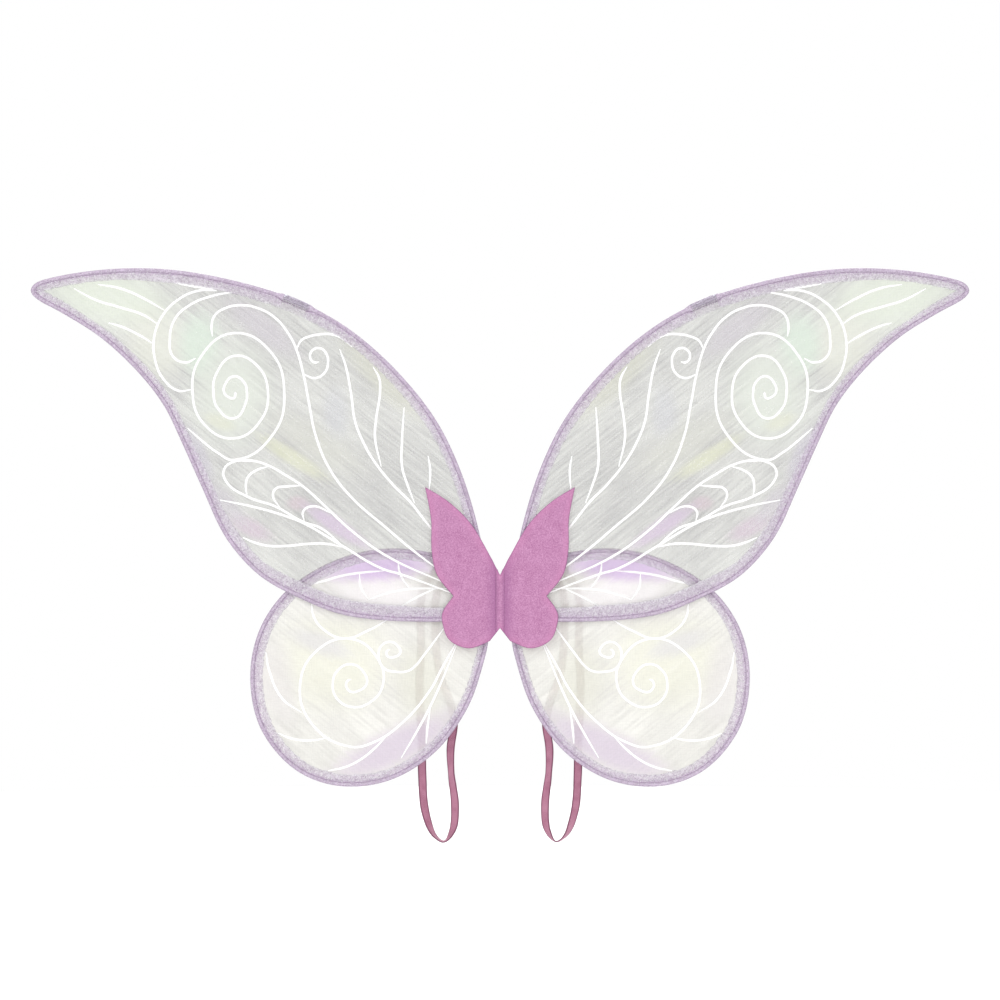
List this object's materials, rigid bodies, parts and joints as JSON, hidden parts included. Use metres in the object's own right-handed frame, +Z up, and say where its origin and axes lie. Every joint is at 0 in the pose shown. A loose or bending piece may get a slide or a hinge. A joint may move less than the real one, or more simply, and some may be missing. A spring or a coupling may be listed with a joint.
{
  "type": "fairy wings",
  "caption": "Costume wings: two sheer wire-framed wings a side, rooted between butterfly-shaped felt patches that fold along the middle, with elastic shoulder loops behind.",
  "frame": {"origin": "middle of the back face of the felt, on the spine", "axes": "+X to the wearer's right along the span, +Y towards the wearer's back, +Z up as worn"},
  "size_m": [0.9008, 0.0173, 0.5553],
  "materials": {
    "felt": "matte needle felt, mauve pink",
    "printed_organza": "sheer iridescent organza with raised white printed veins",
    "glitter_hem": "folded lilac organza with silver glitter",
    "steel_wire": "drawn spring steel",
    "wire_sleeve": "crimped bright sleeve",
    "cloth_tape": "woven cloth tape",
    "elastic": "braided flat elastic, dusty rose"
  },
  "bodies": {
    "spine": {"front_spine_strip": "felt", "back_spine_strip": "felt", "spine_core": "felt"},
    "left_wings": {"left_front_felt": "felt", "left_back_felt": "felt", "left_upper_wire": "steel_wire", "left_upper_sleeve": "wire_sleeve", "left_upper_hem": "glitter_hem", "left_upper_film": "printed_organza", "left_lower_wire": "steel_wire", "left_lower_sleeve": "wire_sleeve", "left_lower_hem": "glitter_hem", "left_lower_film": "printed_organza", "left_root_binding": "cloth_tape", "left_strap_anchor": "cloth_tape"},
    "left_strap": {"left_shoulder_strap": "elastic"},
    "right_wings": {"right_front_felt": "felt", "right_back_felt": "felt", "right_upper_wire": "steel_wire", "right_upper_sleeve": "wire_sleeve", "right_upper_hem": "glitter_hem", "right_upper_film": "printed_organza", "right_lower_wire": "steel_wire", "right_lower_sleeve": "wire_sleeve", "right_lower_hem": "glitter_hem", "right_lower_film": "printed_organza", "right_root_binding": "cloth_tape", "right_strap_anchor": "cloth_tape"},
    "right_strap": {"right_shoulder_strap": "elastic"}
  },
  "joints": [
    {"name": "left_wing_fold", "type": "hinge", "parent": "spine", "child": "left_wings", "pos_m": [-0.0044, -0.0103, 0], "axis": [0, 0, 1], "range_deg": [-5, 85], "stiffness_Nm_per_rad": 0.06},
    {"name": "right_wing_fold", "type": "hinge", "parent": "spine", "child": "right_wings", "pos_m": [0.0044, -0.0103, 0], "axis": [0, 0, -1], "range_deg": [-5, 85], "stiffness_Nm_per_rad": 0.06},
    {"name": "left_strap_swing", "type": "hinge", "parent": "left_wings", "child": "left_strap", "pos_m": [-0.0557, 0.0016, 0.033], "axis": [1, 0, 0], "range_deg": [0, 85]},
    {"name": "right_strap_swing", "type": "hinge", "parent": "right_wings", "child": "right_strap", "pos_m": [0.0557, 0.0016, 0.033], "axis": [1, 0, 0], "range_deg": [0, 85]}
  ]
}
